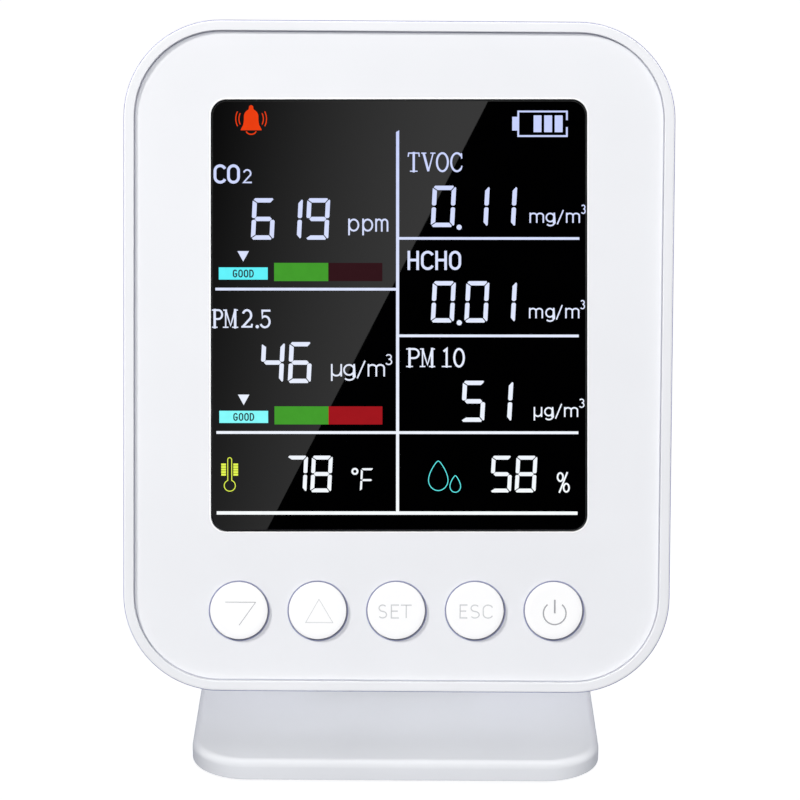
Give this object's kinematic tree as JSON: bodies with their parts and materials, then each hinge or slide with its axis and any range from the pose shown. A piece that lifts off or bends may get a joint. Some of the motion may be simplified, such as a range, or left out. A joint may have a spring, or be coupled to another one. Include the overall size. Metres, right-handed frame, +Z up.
{
  "type": "air quality monitor",
  "caption": "Desktop air quality monitor: a slim white head with a dark reading screen and a row of round push buttons, on a weighted foot with a friction tilt hinge.",
  "frame": {"origin": "centre of the underside of the foot, on the surface that the monitor stands on", "axes": "+Z up; the screen faces -Y; +X is to the right of someone who reads the screen"},
  "size_m": [0.11, 0.078, 0.1454],
  "materials": {
    "casing_white": "moulded, satin",
    "panel_white": "fine matt grain",
    "button_white": "smooth, satin",
    "lens_black": "polished",
    "display_glass": "polished",
    "diffuser_white": "matt",
    "holder_white": "matt",
    "ribbon_amber": "film over copper",
    "board_green": "solder mask",
    "chip_black": "moulded epoxy",
    "part_black": "moulded",
    "steel": "plated",
    "gilt_cell": "gilt, satin",
    "battery_foil": "laminated foil",
    "lead_red": "sheathed wire",
    "foot_grey_white": "moulded, satin",
    "rubber_grey": "matt"
  },
  "bodies": {
    "stand": {"foot_shell": "foot_grey_white", "foot_base_plate": "part_black", "foot_weight": "steel", "foot_pad": "rubber_grey", "stand_neck": "foot_grey_white", "neck_screw_1": "steel", "neck_screw_2": "steel", "hinge_washer_left": "steel", "hinge_washer_right": "steel"},
    "head": {"front_frame": "casing_white", "front_panel": "panel_white", "rear_cover": "casing_white", "display_lens": "lens_black", "hinge_bracket": "casing_white", "bracket_screw_1": "steel", "bracket_screw_2": "steel", "hinge_pin": "steel", "hinge_clip": "steel", "charging_socket": "steel", "battery_cell": "battery_foil", "battery_connector": "holder_white", "battery_lead": "lead_red", "button_guide": "holder_white", "buzzer": "part_black", "climate_sensor_chip": "chip_black", "co2_sensor_board": "board_green", "co2_sensor_cell": "gilt_cell", "controller_chip": "chip_black", "display_backlight": "diffuser_white", "display_glass": "display_glass", "display_holder": "holder_white", "display_ribbon": "ribbon_amber", "dust_sensor_case": "steel", "dust_sensor_lid": "steel", "formaldehyde_sensor": "steel", "gas_sensor_chip": "chip_black", "laser_block": "part_black", "main_board": "board_green", "ribbon_connector": "part_black", "switch_down": "steel", "switch_up": "steel", "switch_set": "steel", "switch_escape": "steel", "switch_power": "steel", "case_screw_1": "steel", "case_screw_2": "steel", "case_screw_3": "steel", "case_screw_4": "steel"},
    "fan": {"fan_rotor": "part_black"},
    "down_button": {"button_down": "button_white", "plunger_down": "part_black"},
    "up_button": {"button_up": "button_white", "plunger_up": "part_black"},
    "set_button": {"button_set": "button_white", "plunger_set": "part_black"},
    "escape_button": {"button_escape": "button_white", "plunger_escape": "part_black"},
    "power_button": {"button_power": "button_white", "plunger_power": "part_black"}
  },
  "joints": [
    {"name": "head_tilt", "type": "hinge", "parent": "stand", "child": "head", "pos_m": [0, 0.0153, 0.0353], "axis": [-1, 0, 0], "range_deg": [-9, 31]},
    {"name": "down_press", "type": "slide", "parent": "head", "child": "down_button", "axis": [0, 0.9703, -0.2419], "range_m": [0, 0.0006], "stiffness_N_per_m": 400, "springref_m": -0.0006},
    {"name": "up_press", "type": "slide", "parent": "head", "child": "up_button", "axis": [0, 0.9703, -0.2419], "range_m": [0, 0.0006], "stiffness_N_per_m": 400, "springref_m": -0.0006},
    {"name": "set_press", "type": "slide", "parent": "head", "child": "set_button", "axis": [0, 0.9703, -0.2419], "range_m": [0, 0.0006], "stiffness_N_per_m": 400, "springref_m": -0.0006},
    {"name": "escape_press", "type": "slide", "parent": "head", "child": "escape_button", "axis": [0, 0.9703, -0.2419], "range_m": [0, 0.0006], "stiffness_N_per_m": 400, "springref_m": -0.0006},
    {"name": "power_press", "type": "slide", "parent": "head", "child": "power_button", "axis": [0, 0.9703, -0.2419], "range_m": [0, 0.0006], "stiffness_N_per_m": 400, "springref_m": -0.0006},
    {"name": "fan_spin", "type": "hinge", "parent": "head", "child": "fan", "pos_m": [0.0305, 0.01634, 0.11594], "axis": [0, 0.9703, -0.2419], "continuous": true}
  ]
}
